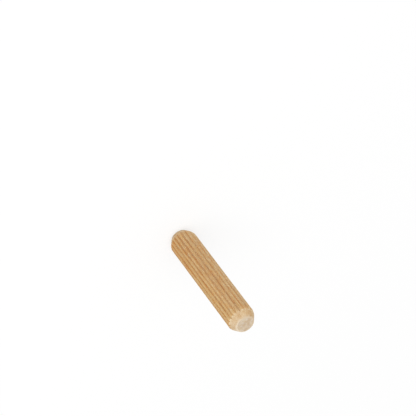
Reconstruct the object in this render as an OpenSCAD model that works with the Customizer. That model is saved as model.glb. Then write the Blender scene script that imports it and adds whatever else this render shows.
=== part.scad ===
// Fluted dowel pin: one straight piece of hardwood, grooved along its whole
// length and chamfered at both ends. It stands on one flat end.
// The axis is +Z, and the origin is at the centre of the end it stands on.

/* [Pin] */
// Diameter over the ridges, which is the size of the hole the pin is driven into
pin_d = 8; // [6:0.5:12]
// Length from end to end
pin_len = 40; // [25:1:80]

/* [Flutes] */
// Number of grooves round the pin
flute_count = 21; // [14:1:24]
// Depth of a groove below the top of the ridges
flute_depth = 0.4; // [0.3:0.05:0.7]
// Radius along the bottom of a groove
root_r = 0.2; // [0.08:0.02:0.24]
// Share of the circle that is left as ridges between the grooves
ridge_share = 0.52; // [0.4:0.02:0.6]

/* [Ends] */
// Length of the chamfer that leads each end into its hole
chamfer_len = 2.4; // [1:0.1:4]
// Angle between the chamfer and the axis
chamfer_angle = 29; // [15:1:40]
// Radius that breaks the rim of each flat end
rim_r = 0.3; // [0.1:0.05:0.5]

/* [Hidden] */

wood = [0.83, 0.68, 0.47];
arc_fn = 48;

pin_r = pin_d / 2;
tip_r = pin_r - chamfer_len * tan(chamfer_angle);

// A groove's cross-section: flanks that fall from the ridge edges and run
// tangent into the round bottom, which they overlap by a hair. The groove is
// drawn on the section's +X side.
flute_pitch = 360 / flute_count;
mouth_angle = (1 - ridge_share) * flute_pitch / 2;
ridge_edge = pin_r * [cos(mouth_angle), sin(mouth_angle)];
root_centre = [pin_r - flute_depth + root_r, 0];
to_edge = ridge_edge - root_centre;
tangent_angle = atan2(to_edge.y, to_edge.x) + acos(root_r / norm(to_edge));
lap = 0.002;
flank_foot = root_centre + (root_r - lap) * [cos(tangent_angle), sin(tangent_angle)];
// The cutter carries each flank on past the ridge edge by the flank's own length.
past_edge = ridge_edge + (ridge_edge - flank_foot);

// An end's outline, as [radius, distance below the end]. The chamfer runs on
// past the ridges by overcut, so that it cuts ridges and grooves alike, and
// the rim's arc is tangent to the flat end and to the chamfer.
overcut = 0.5;
shoulder = [pin_r + overcut, chamfer_len + overcut / tan(chamfer_angle)];
rim_centre = [tip_r - rim_r * (1 - sin(chamfer_angle)) / cos(chamfer_angle), rim_r];
rim_foot = rim_centre + rim_r * [cos(chamfer_angle), -sin(chamfer_angle)];
end_points = [[0, 0], [rim_centre.x, 0], rim_foot, shoulder];

// One groove, open to the outside
module flute_section() {
    translate(root_centre) circle(r = root_r, $fn = arc_fn);
    polygon([
        flank_foot, past_edge,
        [past_edge.x, -past_edge.y], [flank_foot.x, -flank_foot.y]
    ]);
}

// The grooved rod's cross-section
module rod_section() {
    difference() {
        circle(r = pin_r, $fn = 4 * arc_fn);
        for (i = [0 : flute_count - 1])
            rotate(i * flute_pitch) flute_section();
    }
}

// The outline that the blank is turned to: both ends, one above the other
module turned_outline() {
    polygon(concat(
        end_points,
        [for (i = [len(end_points) - 1 : -1 : 0])
            [end_points[i].x, pin_len - end_points[i].y]]
    ));
    for (z = [rim_centre.y, pin_len - rim_centre.y])
        translate([rim_centre.x, z]) circle(r = rim_r, $fn = arc_fn);
}

module dowel_pin() {
    color(wood)
    intersection() {
        translate([0, 0, -overcut])
            linear_extrude(height = pin_len + 2 * overcut) rod_section();
        rotate_extrude($fn = 4 * arc_fn) turned_outline();
    }
}

dowel_pin();
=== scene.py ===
import math
from types import SimpleNamespace

import bpy
import numpy as np
from mathutils import Matrix, Vector


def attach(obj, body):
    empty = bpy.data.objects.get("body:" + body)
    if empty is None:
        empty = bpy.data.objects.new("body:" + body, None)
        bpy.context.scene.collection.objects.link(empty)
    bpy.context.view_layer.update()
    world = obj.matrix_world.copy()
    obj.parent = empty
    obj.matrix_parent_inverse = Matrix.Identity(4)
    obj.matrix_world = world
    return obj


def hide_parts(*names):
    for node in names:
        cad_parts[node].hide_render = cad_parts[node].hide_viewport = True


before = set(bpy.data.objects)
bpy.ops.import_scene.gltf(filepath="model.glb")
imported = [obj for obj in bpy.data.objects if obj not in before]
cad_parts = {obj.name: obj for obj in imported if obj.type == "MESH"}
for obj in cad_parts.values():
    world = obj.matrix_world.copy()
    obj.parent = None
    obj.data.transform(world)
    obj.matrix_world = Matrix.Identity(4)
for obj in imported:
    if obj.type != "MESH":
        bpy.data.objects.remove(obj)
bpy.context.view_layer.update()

MM = 0.001

# The pin's sizes, as in the CAD source, with its lengths in millimetres
PIN_R = 4.0
PIN_LEN = 40.0
FLUTES = 21
FLUTE_DEPTH = 0.4
ROOT_R = 0.2
RIDGE_SHARE = 0.52
CHAMFER_LEN = 2.4
CHAMFER_ANGLE = math.radians(29)
RIM_R = 0.3

# The radius at which the chamfer would reach the end's plane, and the flat end's, inside its round rim
TIP_R = PIN_R - CHAMFER_LEN * math.tan(CHAMFER_ANGLE)
FLAT_R = TIP_R - RIM_R * (1 - math.sin(CHAMFER_ANGLE)) / math.cos(CHAMFER_ANGLE)

# How far each groove of the real pin is turned from its even place, in degrees
GROOVE_TURN = [
    1.8, 1.3, 0.8, 0.4, 0.0, -0.4, -0.8, -1.2, -1.6, -2.0, -2.4,
    -2.8, -3.7, 0.2, -0.2, 0.8, 1.0, 0.1, -1.3, -0.8, 3.2,
]

# How far the real pin's grooves wind round it from its foot to its top
WINDING = math.radians(-2.3)

# How deep each groove is, as a share of FLUTE_DEPTH
GROOVE_SCALE = [
    0.92, 1.02, 0.88, 0.97, 1.05, 0.9, 1.0, 0.94, 1.06, 0.86, 0.98,
    1.0, 0.95, 0.62, 0.8, 1.02, 0.78, 0.77, 0.85, 0.82, 1.05,
]

# Painted sheen on one edge of each ridge, where grazing light whitens it, and painted shade on the
# other.
# The sign says which edge has the painted sheen, and the size says how much.
SHEEN_EDGE = [
    0.7, -0.5, 0.8, 0.4, -0.9, 0.6, 0.9, -0.4, 0.5, -0.8, 0.7,
    -0.6, -0.8, -0.9, 0.1, 0.9, 1.0, 1.0, 0.9, 0.8, 0.6,
]

# How uneven the grooves are, as shares of their own size
DEPTH_WANDER = 0.06  # in depth, along each groove
WIDTH_SPREAD = 0.07  # in width, from groove to groove
WIDTH_WANDER = 0.04  # in width, along each groove

# The side's roughness, as noises with a height in millimetres and cells round and along the pin
RIDGE_WEAR = (0.014, FLUTES, 14), (0.008, 2 * FLUTES, 30)
FIBRES = (0.003, 170, 10), (0.002, 200, 30)

# Depths in a groove, in millimetres: down to which a ridge's edges are rounded, and where the
# wear of the ridge tops has faded to about a third
RIDGE_SOFTNESS = 0.05
WEAR_REACH = 0.06

# The corner between side and chamfer is worn round: how far each way from it
# at the most and at the least, and on which side of the pin that is most
SHOULDER_MOST, SHOULDER_LEAST = 0.75, 0.075
WORN_SIDE = math.radians(-165)

# How far each end's border between side and chamfer lies out of true along the pin and is torn,
# and how rough its sawn flat and its chamfer are, in millimetres
OUT_OF_TRUE = 0.05
TORN_BORDER = 0.03
SAWN_ROUGHNESS = 0.012
CHAMFER_ROUGHNESS = 0.008

# Where the chamfer bites into the ridges. The border is on a ridge where it is this little short
# of CHAMFER_LEN. Back from it, in millimetres, a ridge first keeps the side's own wood and is then
# frayed. Each pair says where a change starts and where it is done.
RIDGE_BORDER = 0.16, 0.04
OWN_WOOD_ENDS = 0.18, 0.3
FRAY_BEGINS = 0.16, 0.26
FRAY_ENDS = 0.35, 0.75
FRAY_MEAN, FRAY_WANDER = 0.7, 0.5  # how frayed the ridges are on the whole, and how much that wanders
FUZZ_LEN = 0.6  # how far along the side, in millimetres, the ridges are still frayed
FUZZ_DEPTH = 0.4  # and how far down, as a share of FLUTE_DEPTH

# Seeds for the random numbers of the side, the two borders and the two ends
SIDE_SEED, BORDER_SEED, END_SEED = 8, 20, 40

# The mesh
COLUMNS_PER_FLUTE = 20
SHANK_RINGS = 150
CHAMFER_RINGS = 18
RIM_RINGS = 5
END_RINGS = 14
FLAT_POWER, CHAMFER_POWER = 0.8, 1.5  # how the rings of flat and chamfer crowd towards their outer edge
EDGE = 0.03  # half the width over which the border between side and chamfer turns
CROWDING = 0.7  # the share by which the side's rings lie closer at its ends than on average
BORDER_ROUNDS = 12  # how often a border's place is worked out anew

# The bake map, which is 1 wide and 1 high: the corner and size of the unrolled side, and the
# middles and radius of the two ends
STRIP_CORNER, STRIP_SIZE = (0.005, 0.005), (0.99, 0.79)
LOW_DISC, HIGH_DISC, DISC_R = (0.25, 0.9), (0.75, 0.9), 0.095


def link(obj):
    """Puts a new object into the scene."""
    bpy.context.scene.collection.objects.link(obj)
    return obj


# ---------------------------------------------------------------- the pin's shape

def fade(value, start, stop):
    """From 0 to 1, evenly, as the value goes from start to stop."""
    return np.clip((value - start) / (stop - start), 0, 1)


def smooth_ramp(x, width):
    """max(x, 0), with its corner rounded over +-width."""
    return np.where(x > width, x, np.where(x < -width, 0, (x + width) ** 2 / (4 * width)))


def lattice_noise(rng, u, v, cells_u, cells_v):
    """Smooth noise from -1 to 1 over u and v from 0 to 1. It repeats along u, to close round the pin."""
    grid = rng.uniform(-1, 1, (cells_u, cells_v + 2))
    x, y = u % 1 * cells_u, np.clip(v, 0, 1) * cells_v
    i, j = x.astype(int) % cells_u, y.astype(int)
    fx, fy = x - np.floor(x), y - j
    fx, fy = fx * fx * (3 - 2 * fx), fy * fy * (3 - 2 * fy)
    ahead = (i + 1) % cells_u
    low = grid[i, j] * (1 - fx) + grid[ahead, j] * fx
    high = grid[i, j + 1] * (1 - fx) + grid[ahead, j + 1] * fx
    return low * (1 - fy) + high * fy


def relief(rng, u, v, noises):
    """How far below its highest points a surface lies that is roughened by all of these noises."""
    layers = [height * lattice_noise(rng, u, v, *cells) for height, *cells in noises]
    return np.abs(sum(layers))


def column_layout():
    """For each column of the mesh: its angle in radians, the nearest groove, how far it is in
    millimetres from that groove's middle, and where it is on its ridge, from -1 at most towards
    the edge with painted shade to 1 at most towards the edge with painted sheen."""
    middle = np.arange(FLUTES) * 360 / FLUTES + np.array(GROOVE_TURN)
    after = np.append(middle[1:], middle[0] + 360)
    share = np.arange(COLUMNS_PER_FLUTE) / COLUMNS_PER_FLUTE
    angle = (middle[:, None] + share * (after - middle)[:, None]).ravel()
    flute = np.repeat(np.arange(FLUTES), COLUMNS_PER_FLUTE)
    before = np.tile(share, FLUTES) < 0.5
    nearest = np.where(before, flute, (flute + 1) % FLUTES)
    centre = np.where(before, middle[flute], after[flute])
    # From the ridge edge with painted shade (-1) to the one with painted sheen (1)
    pale = np.tile(2 * share - 1, FLUTES) * np.array(SHEEN_EDGE)[flute]
    return np.radians(angle), nearest, np.abs(np.radians(angle - centre)) * PIN_R, pale


ANGLE, NEAREST, OFF_MIDDLE, RIDGE_SHEEN = column_layout()
COLUMNS = len(ANGLE)
AROUND = ANGLE / (2 * math.pi)


def ring_noise(rng, cells):
    """Smooth noise from -1 to 1 round one ring, with this many cells."""
    return lattice_noise(rng, AROUND, ANGLE * 0, cells, 1)


def groove_depth(off, depth, mouth):
    """How deep a groove is at each distance off its middle, where mouth is half its width. Its round
    bottom and straight flanks are as in the CAD source, and its ridge edges are softened."""
    centre = depth - ROOT_R
    reach = np.sqrt(mouth**2 + centre**2 - ROOT_R**2)
    slope = (mouth * centre + ROOT_R * reach) / (mouth**2 - ROOT_R**2)
    touch = ROOT_R * slope / np.sqrt(1 + slope**2)
    arc = centre + np.sqrt(np.maximum(ROOT_R**2 - off**2, 0))
    return smooth_ramp(np.where(off < touch, arc, (mouth - off) * slope), RIDGE_SOFTNESS)


def side_radius(height):
    """The fluted side's radius at each height (rows) and column, if it had no chamfers. No two
    grooves are quite alike, the ridge tops are worn, and fine fibres stand out along the pin."""
    rng = np.random.default_rng(SIDE_SEED)
    u, v = np.broadcast_to(AROUND, height.shape), height / PIN_LEN
    depth = FLUTE_DEPTH * np.array(GROOVE_SCALE)[NEAREST]
    depth = depth * (1 + DEPTH_WANDER * lattice_noise(rng, u, v, FLUTES, cells_v=5))
    mouth = PIN_R * math.sin((1 - RIDGE_SHARE) * math.pi / FLUTES)
    mouth = mouth * (1 + WIDTH_SPREAD * rng.uniform(-1, 1, FLUTES))[NEAREST]
    mouth = mouth * (1 + WIDTH_WANDER * lattice_noise(rng, u, v, FLUTES, cells_v=9))
    groove = groove_depth(OFF_MIDDLE, depth, mouth)
    worn = relief(rng, u, v, RIDGE_WEAR) * np.exp(-groove / WEAR_REACH)
    return PIN_R - groove - worn - relief(rng, u, v, FIBRES)


def chamfer_border(end):
    """How far below its end each column's chamfer meets the fluted side, at the foot (0) or at the
    top (1). The cutter ran a little out of true, and it tore the wood."""
    rng = np.random.default_rng(BORDER_SEED + end)
    aside = OUT_OF_TRUE * np.cos(ANGLE - rng.uniform(0, 2 * math.pi))
    torn = TORN_BORDER * ring_noise(rng, cells=90)
    down = np.full(COLUMNS, CHAMFER_LEN)
    # Each round about halves what is left to the place where they meet
    for _ in range(BORDER_ROUNDS):
        height = PIN_LEN - down if end else down
        meets = (side_radius(height[None])[0] - TIP_R) / math.tan(CHAMFER_ANGLE) + aside + torn
        down = (down + meets) / 2
    return down


def turned_radius(down):
    """The radius at each distance below an end and each column, if the pin had no grooves: the
    chamfer, its worn corner, and the straight side past it."""
    share = (1 + np.cos(ANGLE - WORN_SIDE)) / 2
    width = SHOULDER_LEAST + (SHOULDER_MOST - SHOULDER_LEAST) * share
    return PIN_R - math.tan(CHAMFER_ANGLE) * smooth_ramp(CHAMFER_LEN - down, width)


def end_rings(end, border):
    """The rings of the foot (0) or the top (1), from its middle out to the border with the side. Each
    is its radius, its distance below the end, how far it shows a cut face, and how frayed it is."""
    rng = np.random.default_rng(END_SEED + end)
    rings = []
    # The sawn flat
    for k in range(1, END_RINGS + 1):
        radius = FLAT_R * (k / END_RINGS) ** FLAT_POWER
        sawn = SAWN_ROUGHNESS * np.abs(ring_noise(rng, cells=60)) * (k < END_RINGS)
        rings.append((radius, sawn, 1, 0))
    # The round rim
    for k in range(1, RIM_RINGS + 1):
        turn = (math.pi / 2 - CHAMFER_ANGLE) * k / RIM_RINGS
        rings.append((FLAT_R + RIM_R * math.sin(turn), RIM_R * (1 - math.cos(turn)), 1, 0))
    # The chamfer, rough up to its last rings
    start = RIM_R * (1 - math.sin(CHAMFER_ANGLE))
    on_ridge = fade(CHAMFER_LEN - border, *RIDGE_BORDER)
    torn_up = np.clip(FRAY_MEAN + FRAY_WANDER * ring_noise(rng, cells=29), 0, 1)
    for k in range(1, CHAMFER_RINGS + 1):
        down = start + (border - EDGE - start) * (1 - (1 - k / CHAMFER_RINGS) ** CHAMFER_POWER)
        torn = CHAMFER_ROUGHNESS * np.abs(ring_noise(rng, cells=130)) * min(1, (CHAMFER_RINGS - k) / 2)
        back = border - down
        cut = 1 - on_ridge * (1 - fade(back, *OWN_WOOD_ENDS))
        frayed = on_ridge * torn_up * fade(back, *FRAY_BEGINS) * (1 - fade(back, *FRAY_ENDS))
        rings.append((turned_radius(down) - torn, down, cut, frayed))
    return rings


def side_rings(low_border, high_border):
    """The fluted side's rings. Each is its radius, its height, 0 because it shows no cut face, how
    frayed it is, and how far down in a groove it is."""
    share = np.linspace(0, 1, SHANK_RINGS)[:, None]
    share = share - CROWDING * np.sin(2 * math.pi * share) / (2 * math.pi)
    start, stop = low_border + EDGE, PIN_LEN - high_border - EDGE
    height = start + share * (stop - start)
    radius = side_radius(height)
    deep = np.clip((PIN_R - radius) / FLUTE_DEPTH, 0, 1)
    to_border = np.minimum(height - low_border, PIN_LEN - high_border - height)
    frayed = fade(to_border, FUZZ_LEN, 0) * fade(deep, FUZZ_DEPTH, 0)
    radius = np.minimum(radius, turned_radius(np.minimum(height, PIN_LEN - height)))
    return list(zip(radius, height, height * 0, frayed, deep))


def pin_surface():
    """The whole pin, as rings (rows) from the foot's middle to the top's, and columns: the radius,
    the height, and how far each point is on a cut face, frayed, and down in a groove."""
    low_border, high_border = chamfer_border(0), chamfer_border(1)
    foot, top = end_rings(0, low_border), end_rings(1, high_border)
    rings = [(radius, down, cut, frayed, 0) for radius, down, cut, frayed in foot]
    rings += side_rings(low_border, high_border)
    rings += [(radius, PIN_LEN - down, cut, frayed, 0) for radius, down, cut, frayed in reversed(top)]
    full = [[np.broadcast_to(np.asarray(x, float), COLUMNS) for x in ring] for ring in rings]
    return [np.array(layer) for layer in zip(*full)]


def pin_faces(rings):
    """Quads between the rings, and then a fan of triangles to the middle of the foot and of the top."""
    here = np.arange(COLUMNS)
    ahead = (here + 1) % COLUMNS
    row = np.arange(rings - 1)[:, None] * COLUMNS
    quads = np.stack([row + here, row + ahead, row + COLUMNS + ahead, row + COLUMNS + here], -1)
    last = (rings - 1) * COLUMNS
    low_middle = np.full(COLUMNS, rings * COLUMNS)
    low_fan = np.stack([low_middle, ahead, here], -1)
    high_fan = np.stack([low_middle + 1, last + here, last + ahead], -1)
    return quads.reshape(-1, 4).tolist() + low_fan.tolist() + high_fan.tolist()


def build_pin():
    """The dressed pin. Its material reads the attributes cut, frayed, deep and pale."""
    radius, z, cut, frayed, deep = pin_surface()
    pale = np.broadcast_to(RIDGE_SHEEN, radius.shape)
    angle = ANGLE + WINDING * (z / PIN_LEN - 0.5)
    points = np.stack([radius * np.cos(angle), radius * np.sin(angle), z], -1).reshape(-1, 3)
    points = np.concatenate([points, [[0, 0, 0], [0, 0, PIN_LEN]]]) * MM

    mesh = bpy.data.meshes.new("fluted_pin")
    mesh.from_pydata(points.tolist(), [], pin_faces(len(radius)))
    mesh.polygons.foreach_set("use_smooth", np.ones(len(mesh.polygons), bool))
    for name, layer in (("cut", cut), ("frayed", frayed), ("deep", deep), ("pale", pale)):
        values = np.append(layer.ravel(), [layer[0, 0], layer[-1, 0]]).astype(np.float32)
        mesh.attributes.new(name, "FLOAT", "POINT").data.foreach_set("value", values)
    add_bake_map(mesh, radius, z)
    return link(bpy.data.objects.new("fluted_pin", mesh))


def add_bake_map(mesh, radius, z):
    """A flat map for baked textures: the side and chamfers unrolled, and the ends beside them."""
    rings = len(radius)
    uv = mesh.uv_layers.new(name="OFBake")
    corner = np.empty(len(mesh.loops), np.int32)
    mesh.loops.foreach_get("vertex_index", corner)
    face_size = np.empty(len(mesh.polygons), np.int32)
    mesh.polygons.foreach_get("loop_total", face_size)
    face = np.repeat(np.arange(len(face_size)), face_size)
    face_row, face_column = face // COLUMNS, face % COLUMNS
    row, column = np.minimum(corner // COLUMNS, rings - 1), corner % COLUMNS

    # Unrolled: across by column, up by the way along the surface
    way = np.append(0, np.cumsum(np.hypot(np.diff(radius.mean(1)), np.diff(z.mean(1)))))
    first, last = END_RINGS - 1, rings - END_RINGS
    wrapped = column + COLUMNS * ((column == 0) & (face_column == COLUMNS - 1))
    u = STRIP_CORNER[0] + STRIP_SIZE[0] * wrapped / COLUMNS
    v = STRIP_CORNER[1] + STRIP_SIZE[1] * (way[row] - way[first]) / (way[last] - way[first])

    # Each end: a disc. The foot's fan of triangles comes straight after the last row of quads.
    on_low = (face_row < first) | (face_row == rings - 1)
    on_high = (face_row >= last) & ~on_low
    at_middle = corner >= rings * COLUMNS
    reach = np.where(at_middle, 0, radius[row, column]) / FLAT_R * DISC_R
    for on, centre in ((on_low, LOW_DISC), (on_high, HIGH_DISC)):
        u = np.where(on, centre[0] + reach * np.cos(ANGLE[column]), u)
        v = np.where(on, centre[1] + reach * np.sin(ANGLE[column]), v)
    uv.data.foreach_set("uv", np.stack([u, v], -1).ravel().astype(np.float32))


# ---------------------------------------------------------------- materials

class Nodes:
    """Short calls that build a material's node tree. Below, n is one of these."""

    def __init__(self, name):
        self.material = bpy.data.materials.new(name)
        self.material.use_nodes = True
        self.tree = self.material.node_tree
        self.tree.nodes.clear()

    def add(self, kind, sockets=(), **settings):
        """A new node. sockets gives each input's value or the output that it is linked to."""
        made = self.tree.nodes.new(kind)
        for key, value in settings.items():
            setattr(made, key, value)
        for key, value in dict(sockets).items():
            if isinstance(value, bpy.types.NodeSocket):
                self.tree.links.new(value, made.inputs[key])
            else:
                made.inputs[key].default_value = value
        return made

    def point(self):
        """The place on the object, in metres along its own axes."""
        return self.add("ShaderNodeTexCoord").outputs["Object"]

    def attribute(self, name):
        return self.add("ShaderNodeAttribute", attribute_name=name).outputs["Fac"]

    def calc(self, operation, *values):
        return self.add("ShaderNodeMath", enumerate(values), operation=operation).outputs[0]

    def times(self, a, b):
        return self.calc("MULTIPLY", a, b)

    def length(self, vector):
        return self.add("ShaderNodeVectorMath", {0: vector}, operation="LENGTH").outputs["Value"]

    def step(self, value, start, stop, low=0.0, high=1.0):
        """Smoothly from low to high as the value goes from start to stop."""
        sockets = {0: value, 1: start, 2: stop, 3: low, 4: high}
        return self.add("ShaderNodeMapRange", sockets, interpolation_type="SMOOTHSTEP").outputs[0]

    def mix(self, share, a, b):
        return self.add("ShaderNodeMix", {0: share, 6: a, 7: b}, data_type="RGBA").outputs[2]

    def layered(self, colour, *layers):
        """The colour with tones laid over it in turn, each given as its share and its tone."""
        for share, tone in layers:
            colour = self.mix(share, colour, tone)
        return colour

    def tinted(self, colour, share, low, high):
        """The colour times a tint that goes from low to high with the share."""
        sockets = {0: 1.0, 6: colour, 7: self.mix(share, (*low, 1.0), (*high, 1.0))}
        tint = self.add("ShaderNodeMix", sockets, data_type="RGBA", blend_type="MULTIPLY")
        return tint.outputs[2]

    def stretched(self, scale, detail=2.0, roughness=0.5, place=0.0, turn=0.0):
        """Noise with this many features per millimetre along each of the object's axes. place and
        turn move and turn the lookup, and so take it from elsewhere in the noise."""
        sockets = {
            "Vector": self.point(),
            "Location": (place, place, place),
            "Rotation": (0, 0, -turn),
            "Scale": tuple(x / MM for x in scale),
        }
        vector = self.add("ShaderNodeMapping", sockets).outputs[0]
        sockets = {"Vector": vector, "Scale": 1.0, "Detail": detail, "Roughness": roughness}
        return self.add("ShaderNodeTexNoise", sockets).outputs["Fac"]

    def noise(self, across, along, detail=2.0, roughness=0.5, place=0.0):
        """Noise with this many features per millimetre across and along the grain."""
        return self.stretched((across, across, along), detail, roughness, place)

    def across(self, angle):
        """From 0 to 1 across the pin, towards this angle."""
        sockets = {0: self.point(), 1: (math.cos(angle) / MM, math.sin(angle) / MM, 0)}
        way = self.add("ShaderNodeVectorMath", sockets, operation="DOT_PRODUCT").outputs["Value"]
        return self.step(way, -PIN_R, PIN_R)


def srgb(r, g, b):
    """An 8-bit sRGB colour as the linear one that a socket takes."""
    return tuple(((c / 255 + 0.055) / 1.055) ** 2.4 for c in (r, g, b)) + (1.0,)


# The wood's tones on the side, on the chamfers, and on the sawn ends with their rims
SIDE_TONES = SimpleNamespace(
    ridge=srgb(221, 187, 133),
    streaked_ridge=srgb(210, 172, 115),
    groove=srgb(214, 178, 133),
    streaked_groove=srgb(204, 166, 121),
    # The next two are painted light: sheen on one edge of each ridge and shade on the other
    sheen_edge=srgb(236, 210, 163),
    shaded_edge=srgb(203, 149, 90),
    warm_patch=srgb(211, 150, 86),
    dark_band=srgb(192, 142, 90),
    light_band=srgb(231, 200, 150),
    dark_line=srgb(180, 132, 84),
    light_line=srgb(232, 203, 156),
    late_wood=srgb(188, 134, 82),
    ray=srgb(150, 100, 62),
    pore=srgb(156, 110, 70),
    pale_dash=srgb(240, 218, 176),
    frayed=srgb(233, 206, 162),
)
CHAMFER_TONES = SimpleNamespace(
    light=srgb(232, 207, 171),
    dark=srgb(222, 191, 148),
    dark_speck=srgb(203, 161, 112),
    light_speck=srgb(240, 222, 192),
    late_wood=srgb(192, 146, 98),
    pore=srgb(170, 126, 84),
    frayed=srgb(238, 217, 179),
)
END_TONES = SimpleNamespace(
    light=srgb(217, 200, 175),
    dark=srgb(202, 179, 151),
    saw_mark=srgb(190, 165, 134),
    ray=srgb(229, 214, 190),
    late_wood=srgb(184, 150, 116),
    pore=srgb(160, 130, 98),
    rim=srgb(235, 220, 196),
    specked_rim=srgb(222, 202, 172),
    # Painted shade on the rim towards one side
    shaded_rim=srgb(214, 190, 158),
)

# What those tones are multiplied by, from one end of a slower change to the other
HUE_TINTS = (1.01, 0.92, 0.78), (0.99, 1.06, 1.2)
FIBRE_TINTS = (0.90, 0.83, 0.76), (1.09, 1.16, 1.24)
UPPER_GROOVE_TINTS = (1, 1, 1), (1.13, 1.27, 1.4)
WARM_FOOT_TINTS = (1, 1, 1), (0.98, 0.90, 0.80)
# The next two are painted sheen, the first partly the wood's own tone, and the third is painted shade on
# the chamfers
TONE_AND_SHEEN_TINTS = (0.958, 0.905, 0.76), (0.99, 0.98, 0.97)
SHEEN_TINTS = (1, 1, 1), (1.06, 1.11, 1.15)
CHAMFER_SHADE_TINTS = (0.98, 1.03, 1.09), (0.94, 0.90, 0.82)
STAIN_TINTS = (0.98, 0.94, 0.84), (1.02, 1.06, 1.16)

# The fluted side is paler and greyer towards the first of these sides of the pin, partly its own
# tone and partly painted sheen of grazing light, and there the chamfers and end rims are darker,
# as painted shade. It is paler again near the second, as painted sheen.
SHEEN_SIDE = math.radians(-160)
STRONGEST_SHEEN_SIDE = math.radians(160)

# The heights over which the grooves turn pale towards the top, and the darker side warm towards
# the foot, in millimetres
PALE_GROOVES = 33.5, 37.5
WARM_FOOT = 20.0, 12.0

# The growth rings, in millimetres: their centre, from the pin's axis, how far apart they are, and
# how far they wander
PITH = (24.7, -20.8)
RING_GAP = 3.5
RING_WANDER = 2.4

# The distances from the axis over which a sawn flat turns into its rim and the rim into the
# chamfer, and how far they wander, in millimetres
RIM_FROM = FLAT_R - 0.3, FLAT_R + 0.05
CHAMFER_FROM = TIP_R - 0.02, TIP_R + 0.3
RIM_WANDER = 0.7

# Where the tones of the side and of the sawn ends are taken from in the noise, and how far the
# noise of the saw marks and of the ends' rays is turned
BAND_PLACE, PATCH_PLACE = 39.0, 23.3
CLOUD_PLACE, STAIN_PLACE = 7.8, 5.1
SAW_TURN, RAY_TURN = math.radians(35), math.atan2(PITH[1], PITH[0])

# The wood's roughness across its grain lines, what is added to that where the ends are cut, its
# specular level, and its bump's strength and height in millimetres
ROUGHNESS, CUT_ROUGHNESS = (0.5, 0.64), 0.15
SPECULAR = 0.35
BUMP_STRENGTH, BUMP_HEIGHT = 0.35, 0.01


def growth_rings(n):
    """From 0 in early wood to 1 in the thin late wood that ends each year's ring."""
    sockets = {
        "Vector": n.point(),
        "Location": (-PITH[0], -PITH[1], 0),
        "Scale": (1 / MM, 1 / MM, 0),
    }
    away = n.length(n.add("ShaderNodeMapping", sockets).outputs[0])
    wander = n.times(n.noise(0.12, 0.03), RING_WANDER)
    year = n.calc("FRACT", n.calc("DIVIDE", n.calc("ADD", away, wander), RING_GAP))
    return n.times(n.step(year, 0.45, 0.93), n.step(year, 1.0, 0.95))


def wood_grain(n):
    """What the functions below share: what the mesh says of each point, how far it is towards the
    side with painted sheen, and the patterns that run through the wood."""
    return SimpleNamespace(
        deep=n.attribute("deep"),
        cut=n.attribute("cut"),
        frayed=n.attribute("frayed"),
        to_sheen_side=n.across(SHEEN_SIDE),
        rings=growth_rings(n),
        line=n.noise(7.0, 0.12, 3.0, 0.6),
        speck=n.noise(5.0, 1.6, 3.0, 0.65),
        fleck=n.step(n.noise(6.5, 0.5, 1.0), 0.7, 0.76),
        pore=n.step(n.noise(13.0, 1.6, 1.0), 0.66, 0.74),
    )


def ridge_sheen_and_shade(n, colour, patch):
    """Painted sheen on one edge of each ridge and painted shade on the other, more so in some patches.
    """
    pale = n.attribute("pale")
    sheen_band = n.times(n.step(pale, 0.1, 0.4), n.step(pale, 0.75, 0.5))
    shade_band = n.times(n.step(pale, -0.1, -0.6), n.step(pale, -1.0, -0.8))
    return n.layered(
        colour,
        (n.times(sheen_band, n.step(patch, 0.65, 0.4, 0.2, 0.8)), SIDE_TONES.sheen_edge),
        (n.times(shade_band, n.step(patch, 0.35, 0.6, 0.2, 0.6)), SIDE_TONES.shaded_edge),
    )


def side_tints(n, wood, colour):
    """The side's changes of hue, its fibres, and how it differs from end to end and side to side,
    where side to side it is partly painted sheen.
    """
    hue = n.step(n.noise(1.3, 0.5, 4.0, 0.75), 0.3, 0.7)
    fibre = n.step(n.noise(5.0, 1.6, 3.0, 0.75), 0.33, 0.67)
    z = n.add("ShaderNodeSeparateXYZ", {0: n.point()}).outputs[2]
    height = n.calc("DIVIDE", z, MM)
    upper_groove = n.times(n.step(height, *PALE_GROOVES), n.step(wood.deep, 0.2, 0.8))
    warm_foot = n.times(n.step(height, *WARM_FOOT), n.step(wood.to_sheen_side, 0.25, 0.05))
    edge_sheen = n.step(n.across(STRONGEST_SHEEN_SIDE), 0.45, 0.95)
    colour = n.tinted(colour, hue, *HUE_TINTS)
    colour = n.tinted(colour, fibre, *FIBRE_TINTS)
    colour = n.tinted(colour, upper_groove, *UPPER_GROOVE_TINTS)
    colour = n.tinted(colour, warm_foot, *WARM_FOOT_TINTS)
    # Paler and greyer towards one side, partly own tone and partly painted sheen, and paler again
    # towards a second side as painted sheen
    colour = n.tinted(colour, wood.to_sheen_side, *TONE_AND_SHEEN_TINTS)
    return n.tinted(colour, edge_sheen, *SHEEN_TINTS)


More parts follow.
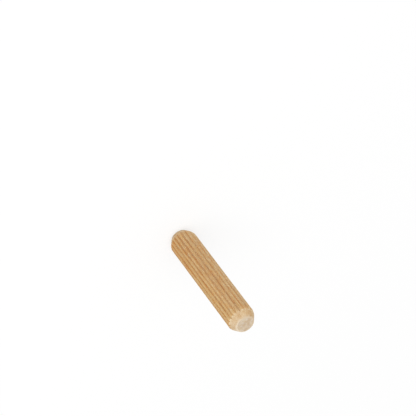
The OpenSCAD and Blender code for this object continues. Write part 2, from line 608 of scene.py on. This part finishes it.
def side_colour(n, wood):
    """The fluted side: ridge edges with painted sheen and painted shade, warmer grooves, fine grain,
    growth rings, and the short dark dashes of the wood's rays."""
    tones = SIDE_TONES
    streak = n.step(n.noise(1.2, 0.04), 0.3, 0.7)
    band = n.noise(2.6, 0.03, 2.0, 0.6, BAND_PLACE)
    patch = n.noise(1.3, 0.35, place=PATCH_PLACE)
    # Short pale dashes along the grain
    pale_dash = n.step(n.noise(3.5, 0.9, 1.0), 0.62, 0.72)
    ridge = n.mix(streak, tones.ridge, tones.streaked_ridge)
    groove = n.mix(streak, tones.groove, tones.streaked_groove)
    colour = n.mix(n.step(wood.deep, 0.12, 0.75), ridge, groove)
    # Painted sheen on one edge of each ridge and painted shade on the other
    colour = ridge_sheen_and_shade(n, colour, patch)
    colour = n.layered(
        colour,
        (n.step(patch, 0.5, 0.7, 0.0, 0.45), tones.warm_patch),
        (n.step(band, 0.5, 0.75, 0.0, 0.5), tones.dark_band),
        (n.step(band, 0.48, 0.28, 0.0, 0.4), tones.light_band),
        (n.step(wood.line, 0.5, 0.75, 0.0, 0.5), tones.dark_line),
        (n.step(wood.line, 0.45, 0.3, 0.0, 0.3), tones.light_line),
        (n.times(wood.rings, 0.3), tones.late_wood),
        (n.times(wood.fleck, 0.3), tones.ray),
        (n.times(wood.pore, 0.2), tones.pore),
        (n.times(pale_dash, 0.6), tones.pale_dash),
    )
    colour = side_tints(n, wood, colour)
    fray = n.times(wood.frayed, n.step(wood.speck, 0.48, 0.4, 0.0, 0.7))
    return n.mix(fray, colour, tones.frayed)


def chamfer_colour(n, wood):
    """The chamfers: paler, with cut fibres as fine specks, painted shade on one side, and frayed
    where they bite into ridges.
    """
    tones = CHAMFER_TONES
    blotch = n.step(n.noise(0.9, 0.6), 0.35, 0.65)
    colour = n.layered(
        n.mix(blotch, tones.light, tones.dark),
        (n.step(wood.speck, 0.45, 0.68, 0.0, 0.7), tones.dark_speck),
        (n.step(wood.speck, 0.44, 0.3, 0.0, 0.6), tones.light_speck),
        (n.times(wood.rings, 0.25), tones.late_wood),
        (n.times(wood.pore, 0.25), tones.pore),
    )
    # Darker and more tan towards the sheen side: painted shade
    colour = n.tinted(colour, wood.to_sheen_side, *CHAMFER_SHADE_TINTS)
    fray = n.times(wood.frayed, n.step(wood.speck, 0.62, 0.42, 0.3, 0.9))
    return n.mix(fray, colour, tones.frayed)


def sawn_colour(n, wood):
    """The sawn ends: greyer and cloudy, with saw marks, rays, growth rings, and pores as dots."""
    tones = END_TONES
    cloud = n.step(n.noise(0.6, 0.6, place=CLOUD_PLACE), 0.35, 0.65)
    saw_mark = n.stretched((6.0, 0.35, 6.0), turn=SAW_TURN)
    ray = n.stretched((0.4, 8.0, 0.4), turn=RAY_TURN)
    dot = n.step(n.noise(9.0, 9.0, 1.0), 0.6, 0.72)
    stain = n.step(n.noise(1.2, 1.2, 3.0, 0.7, STAIN_PLACE), 0.35, 0.65)
    colour = n.layered(
        n.mix(cloud, tones.light, tones.dark),
        (n.step(saw_mark, 0.45, 0.7, 0.0, 0.35), tones.saw_mark),
        (n.step(ray, 0.55, 0.72, 0.0, 0.4), tones.ray),
        (n.times(wood.rings, 0.25), tones.late_wood),
        (n.times(dot, 0.35), tones.pore),
    )
    return n.tinted(colour, stain, *STAIN_TINTS)


def end_colour(n, wood):
    """An end as it was cut: the sawn flat, its pale rim, and the chamfer round them. How far out
    from the axis a point is, with a little wander, tells one from the other."""
    rim = n.mix(n.step(wood.speck, 0.4, 0.7), END_TONES.rim, END_TONES.specked_rim)
    # The rim is darker towards the sheen side: painted shade
    rim = n.mix(wood.to_sheen_side, rim, END_TONES.shaded_rim)
    sockets = {0: n.point(), 1: (1 / MM, 1 / MM, 0)}
    from_axis = n.add("ShaderNodeVectorMath", sockets, operation="MULTIPLY").outputs[0]
    wander = n.times(n.calc("SUBTRACT", n.noise(1.6, 1.6), 0.5), RIM_WANDER)
    out = n.calc("ADD", n.length(from_axis), wander)
    return n.layered(
        sawn_colour(n, wood),
        (n.step(out, *RIM_FROM), rim),
        (n.step(out, *CHAMFER_FROM), chamfer_colour(n, wood)),
    )


def wood_material():
    """Bare hardwood, duller where the ends are cut, with fine grain and pits that catch the light."""
    n = Nodes("bare_hardwood")
    wood = wood_grain(n)
    roughness = n.step(wood.line, 0.3, 0.7, *ROUGHNESS)
    roughness = n.calc("ADD", roughness, n.times(wood.cut, CUT_ROUGHNESS))
    pits = n.times(n.calc("MAXIMUM", wood.fleck, wood.pore), 0.6)
    grain = n.calc("SUBTRACT", n.noise(8.0, 0.3, 2.0, 0.5), pits)
    bump = n.add("ShaderNodeBump", {
        "Strength": BUMP_STRENGTH,
        "Distance": BUMP_HEIGHT * MM,
        "Height": grain,
    })
    shader = n.add("ShaderNodeBsdfPrincipled", {
        "Base Color": n.mix(wood.cut, side_colour(n, wood), end_colour(n, wood)),
        "Roughness": roughness,
        "Specular IOR Level": SPECULAR,
        "Normal": bump.outputs[0],
    })
    n.add("ShaderNodeOutputMaterial", {"Surface": shader.outputs[0]})
    return n.material


WHITE, MATT_WHITE = (1.0, 1.0, 1.0, 1.0), (0.9, 0.9, 0.9, 1.0)

# How much of the pin's shadow shows close to it, and the distances from the middle of its foot,
# in metres, over which that fades out
SHADOW_SHARE = 0.3
SHADOW_NEAR, SHADOW_FAR = 0.04, 0.3


def floor_material():
    """White to the camera and in reflections, apart from the pin's shadow near it, and matt white
    to all other light."""
    n = Nodes("white_floor")
    ray = n.add("ShaderNodeLightPath").outputs
    mirrored = n.calc("MAXIMUM", ray["Is Glossy Ray"], ray["Is Transmission Ray"])
    seen = n.calc("MAXIMUM", ray["Is Camera Ray"], mirrored)
    far = n.length(n.point())
    share = n.times(seen, n.step(far, SHADOW_NEAR, SHADOW_FAR, 1 - SHADOW_SHARE, 1.0))
    matt = n.add("ShaderNodeBsdfDiffuse", {"Color": n.mix(seen, MATT_WHITE, WHITE)})
    glow = n.add("ShaderNodeEmission", {"Color": WHITE, "Strength": 1.0})
    both = n.add("ShaderNodeMixShader", {0: share, 1: matt.outputs[0], 2: glow.outputs[0]})
    n.add("ShaderNodeOutputMaterial", {"Surface": both.outputs[0]})
    return n.material


# ---------------------------------------------------------------- camera, light and floor

# The camera against the pin: its height above the horizontal, its place round the pin, its
# distance in millimetres, its focal length in pixels, and where the pin's middle is in the picture
ELEVATION = math.radians(42.81)
AZIMUTH = math.radians(5.3)
DISTANCE = 630.0
FOCAL_PX = 2277.0
PIN_PX = (211.94, 280.03)
IMAGE_PX = 416
SENSOR = 36.0  # the sensor's width in millimetres
LEAN = 0.4497  # the share of the pin's axis that points to the picture's right
CLIP_START, CLIP_END = 0.01, 20.0  # in metres

# The even light from all round, and half the floor's width in metres
WORLD_LEVEL = 0.71
FLOOR_HALF = 3.0


def camera_axes():
    """The camera's right, up and backward directions."""
    level, rise = math.cos(ELEVATION), math.sin(ELEVATION)
    back = Vector((math.sin(AZIMUTH) * level, -math.cos(AZIMUTH) * level, rise))
    level_right = Vector((math.cos(AZIMUTH), math.sin(AZIMUTH), 0))
    roll = math.pi - math.asin(LEAN / level)
    right = level_right * math.cos(roll) + back.cross(level_right) * math.sin(roll)
    return right, back.cross(right), back


def add_camera():
    right, up, back = camera_axes()
    across, down = ((p - IMAGE_PX / 2) * DISTANCE / FOCAL_PX for p in PIN_PX)
    place = Vector((0, 0, PIN_LEN / 2)) + back * DISTANCE - right * across + up * down
    data = bpy.data.cameras.new("camera")
    data.sensor_width, data.lens = SENSOR, FOCAL_PX * SENSOR / IMAGE_PX
    data.clip_start, data.clip_end = CLIP_START, CLIP_END
    camera = link(bpy.data.objects.new("camera", data))
    turned = Matrix((right, up, back)).transposed().to_4x4()
    camera.matrix_world = Matrix.Translation(place * MM) @ turned
    bpy.context.scene.camera = camera


def add_lamp(name, toward, distance, size, power):
    """A square soft lamp that faces the pin's foot, with its distance and size in metres. toward is
    the way to it, along the camera's right, up and back."""
    way = sum((a * t for a, t in zip(camera_axes(), toward)), Vector()).normalized()
    data = bpy.data.lights.new(name, "AREA")
    data.shape, data.size, data.energy = "SQUARE", size, power
    lamp = link(bpy.data.objects.new(name, data))
    turned = way.to_track_quat("Z", "Y").to_matrix().to_4x4()
    lamp.matrix_world = Matrix.Translation(way * distance) @ turned
    lamp.visible_camera = False


def set_world(level):
    """Even light from all round, and plain white where the camera sees past the floor."""
    world = bpy.data.worlds.new("studio")
    world.use_nodes = True
    nodes, links = world.node_tree.nodes, world.node_tree.links
    nodes.clear()
    ray = nodes.new("ShaderNodeLightPath")
    mix = nodes.new("ShaderNodeMixShader")
    out = nodes.new("ShaderNodeOutputWorld")
    links.new(ray.outputs["Is Camera Ray"], mix.inputs[0])
    for socket, strength in ((1, level), (2, 1.0)):
        light = nodes.new("ShaderNodeBackground")
        light.inputs["Color"].default_value = WHITE
        light.inputs["Strength"].default_value = strength
        links.new(light.outputs[0], mix.inputs[socket])
    links.new(mix.outputs[0], out.inputs[0])
    bpy.context.scene.world = world


def add_floor(half):
    mesh = bpy.data.meshes.new("floor")
    corners = [(-half, -half, 0), (half, -half, 0), (half, half, 0), (-half, half, 0)]
    mesh.from_pydata(corners, [], [(0, 1, 2, 3)])
    mesh.materials.append(floor_material())
    link(bpy.data.objects.new("floor", mesh))


pin = build_pin()
pin.data.materials.append(wood_material())
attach(pin, "root")
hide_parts("dowel_pin")

add_floor(FLOOR_HALF)
add_camera()
add_lamp("key", toward=(0.12, -0.40, 0.9), distance=0.8, size=0.6, power=2.5)
set_world(WORLD_LEVEL)
bpy.context.scene.view_settings.view_transform = "Standard"
